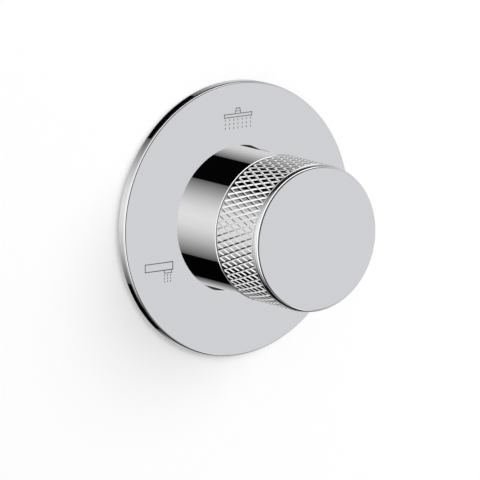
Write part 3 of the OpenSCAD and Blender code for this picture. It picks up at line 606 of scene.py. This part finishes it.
build.free()
knurl_mesh.set_sharp_from_angle(angle=math.radians(40))
knurl_mesh.materials.clear()
knurl_mesh.materials.append(chrome)
knurl = bpy.data.objects.new("knob_knurl", knurl_mesh)
scene.collection.objects.link(knurl)

# The set screw's hole goes through the knurl and the wall from below.
screw_u = 29.7
screw_hole_r = 2.5
drill_l = 8
drill_z = -18.5
drill = bmesh.new()
bmesh.ops.create_cone(drill, cap_ends=True, segments=48, radius1=screw_hole_r * MM,
                      radius2=screw_hole_r * MM, depth=drill_l * MM)
bmesh.ops.translate(drill, verts=drill.verts, vec=(0, -screw_u * MM, drill_z * MM))
drill_mesh = bpy.data.meshes.new("drill")
drill.to_mesh(drill_mesh)
drill.free()
drill_piece = bpy.data.objects.new("drill", drill_mesh)
scene.collection.objects.link(drill_piece)
for piece in (knob, knurl):
    bore = piece.modifiers.new("bore", "BOOLEAN")
    bore.operation = "DIFFERENCE"
    bore.solver = "EXACT"
    bore.object = drill_piece
    bpy.context.view_layer.update()
    bored = bpy.data.meshes.new_from_object(piece.evaluated_get(bpy.context.evaluated_depsgraph_get()))
    piece.modifiers.clear()
    piece.data = bored
bpy.data.objects.remove(drill_piece)
dress(knob, "turning", "chrome", "knob")
dress(knurl, "turning", "chrome")

# Concealed brass
# The body is cast brass with machined ports. The cartridge's nut, housing and
# spindle and the knob's adaptor are turned brass.
cast_brass = surface("cast_brass", (0.70, 0.50, 0.22), 0.42, metallic=1.0, vary=0.08, grain=420.0, bump=0.03)
turned_brass = surface("turned_brass", (0.78, 0.58, 0.28), 0.22, metallic=1.0, vary=0.04, grain=150.0)
nodes["valve_body"].data.materials.clear()
nodes["valve_body"].data.materials.append(cast_brass)
for name in ("cartridge_nut", "cartridge_housing", "spindle", "knob_adaptor"):
    nodes[name].data.materials.clear()
    nodes[name].data.materials.append(turned_brass)

# Half-inch pipe thread in each port: one ridge wound into a helix for the
# port at the right, and laid round the axis four times.
port_u = -42.0
port_reach = 34.0
thread_l = 13.0
thread_pitch = 1.814
major_r = 10.55
minor_r = 9.35
thread_mesh = bpy.data.meshes.new("thread")
build = bmesh.new()
per_turn = 48
section = [(0.42, 0.0), (0.1, 1.0), (-0.1, 1.0), (-0.42, 0.0)]
last = None
for k in range(int(thread_l / thread_pitch * per_turn) + 1):
    a = k * math.tau / per_turn
    at = port_reach - 0.8 - k * thread_pitch / per_turn
    fade = min(1.0, k / 24)
    loop = []
    for shift, inward_by in section:
        r = (major_r - (major_r - minor_r) * inward_by * fade) * MM
        x = (at + shift * thread_pitch - 0.4) * MM
        loop.append(build.verts.new((x, r * math.cos(a), r * math.sin(a))))
    if last:
        for j in range(len(section) - 1):
            build.faces.new((last[j], loop[j], loop[j + 1], last[j + 1]))
    last = loop
for f in build.faces:
    f.smooth = True
build.to_mesh(thread_mesh)
build.free()
thread_piece = bpy.data.objects.new("thread", thread_mesh)
scene.collection.objects.link(thread_piece)
threads_mesh = lay_round(thread_piece, 4, 1, math.tau / 4, 0, port_u * MM, 0, turned_brass)
threads_mesh.set_sharp_from_angle(angle=math.radians(30))
threads = bpy.data.objects.new("port_threads", threads_mesh)
scene.collection.objects.link(threads)
dress(threads, "fixed", "brass")

# Small parts
# Steel screws and clip, black rubber rings, a red moulded seal, a foam gasket,
# white acetal and lapped ceramic. They keep their CAD shapes.
finishes = {
    "steel": surface("steel", (0.36, 0.36, 0.37), 0.3, metallic=1.0, vary=0.05, grain=300.0),
    "rubber": surface("rubber", (0.03, 0.03, 0.032), 0.55, vary=0.2, grain=500.0),
    "seal_red": surface("seal_red", (0.42, 0.08, 0.05), 0.5, vary=0.1, grain=500.0),
    "foam": surface("foam", (0.18, 0.18, 0.19), 0.9, vary=0.3, grain=1500.0, bump=0.1),
    "plastic_white": surface("plastic_white", (0.8, 0.8, 0.77), 0.4, vary=0.03, grain=200.0),
    "ceramic": surface("ceramic", (0.86, 0.84, 0.78), 0.15, vary=0.02, grain=200.0),
}
worn_by = {
    "steel": ("knob_set_screw", "adaptor_screw", "spindle_clip"),
    "rubber": ("sleeve_o_rings", "plate_o_ring", "housing_o_ring", "spindle_o_rings", "base_seals"),
    "seal_red": ("disc_seal",),
    "foam": ("plate_gasket",),
    "plastic_white": ("thrust_washer", "drive_disc", "cartridge_base"),
    "ceramic": ("moving_ceramic_disc", "fixed_ceramic_disc"),
}
for finish, names in worn_by.items():
    for name in names:
        nodes[name].data.materials.clear()
        nodes[name].data.materials.append(finishes[finish])
for piece in nodes.values():
    piece.visible_glossy = False
